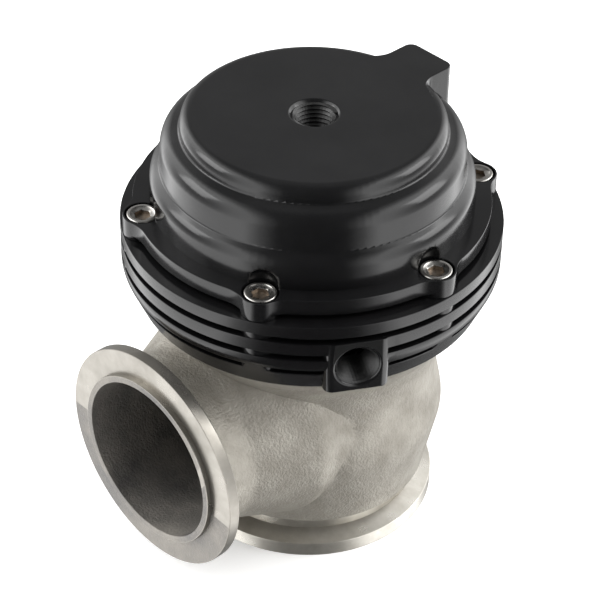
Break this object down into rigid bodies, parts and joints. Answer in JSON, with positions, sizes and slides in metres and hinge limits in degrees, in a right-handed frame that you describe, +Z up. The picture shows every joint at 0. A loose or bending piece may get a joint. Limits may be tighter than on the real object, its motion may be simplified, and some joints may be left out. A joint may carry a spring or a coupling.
{
  "type": "turbo wastegate",
  "caption": "External poppet-valve wastegate: cast stainless V-band body with a side outlet under a finned black diaphragm actuator with a stepped cap.",
  "frame": {"origin": "centre of the inlet V-band flange's face", "axes": "+Z up along the valve stem towards the cap, -Y out of the outlet, +Y towards the cap's side port"},
  "size_m": [0.1026, 0.111, 0.1236],
  "materials": {
    "cast_stainless": "cast stainless, bead-blasted, machined flanges",
    "hardened_steel": "ground seat ring",
    "valve_steel": "ground stainless valve",
    "bronze": "turned bronze",
    "graphite": "graphite ring",
    "gasket_steel": "bare steel gasket",
    "black_aluminium": "gloss black over cast aluminium",
    "seal_rubber": "moulded seal",
    "screw_steel": "stainless screw",
    "diaphragm_rubber": "fabric-reinforced silicone",
    "plain_aluminium": "turned aluminium",
    "spring_steel": "oiled spring wire"
  },
  "bodies": {
    "case": {"inlet_flange": "cast_stainless", "valve_body": "cast_stainless", "valve_seat": "hardened_steel", "stem_guide": "bronze", "stem_scraper": "graphite", "body_gasket": "gasket_steel", "actuator_housing": "black_aluminium", "rod_bushing": "bronze", "rod_seal": "seal_rubber", "seal_retainer": "valve_steel", "housing_screws": "screw_steel", "lock_washers": "screw_steel", "diaphragm": "diaphragm_rubber", "outer_spring": "spring_steel", "inner_spring": "spring_steel", "top_cap": "black_aluminium", "cap_screws": "screw_steel"},
    "valve": {"poppet_valve": "valve_steel", "diaphragm_plate": "plain_aluminium", "piston": "plain_aluminium", "piston_washer": "screw_steel", "piston_nut": "screw_steel"}
  },
  "joints": [
    {"name": "valve_lift", "type": "slide", "parent": "case", "child": "valve", "axis": [0, 0, 1], "range_m": [0, 0.0095], "stiffness_N_per_m": 12000, "springref_m": -0.03, "deforming": ["outer_spring", "inner_spring", "diaphragm"]}
  ]
}
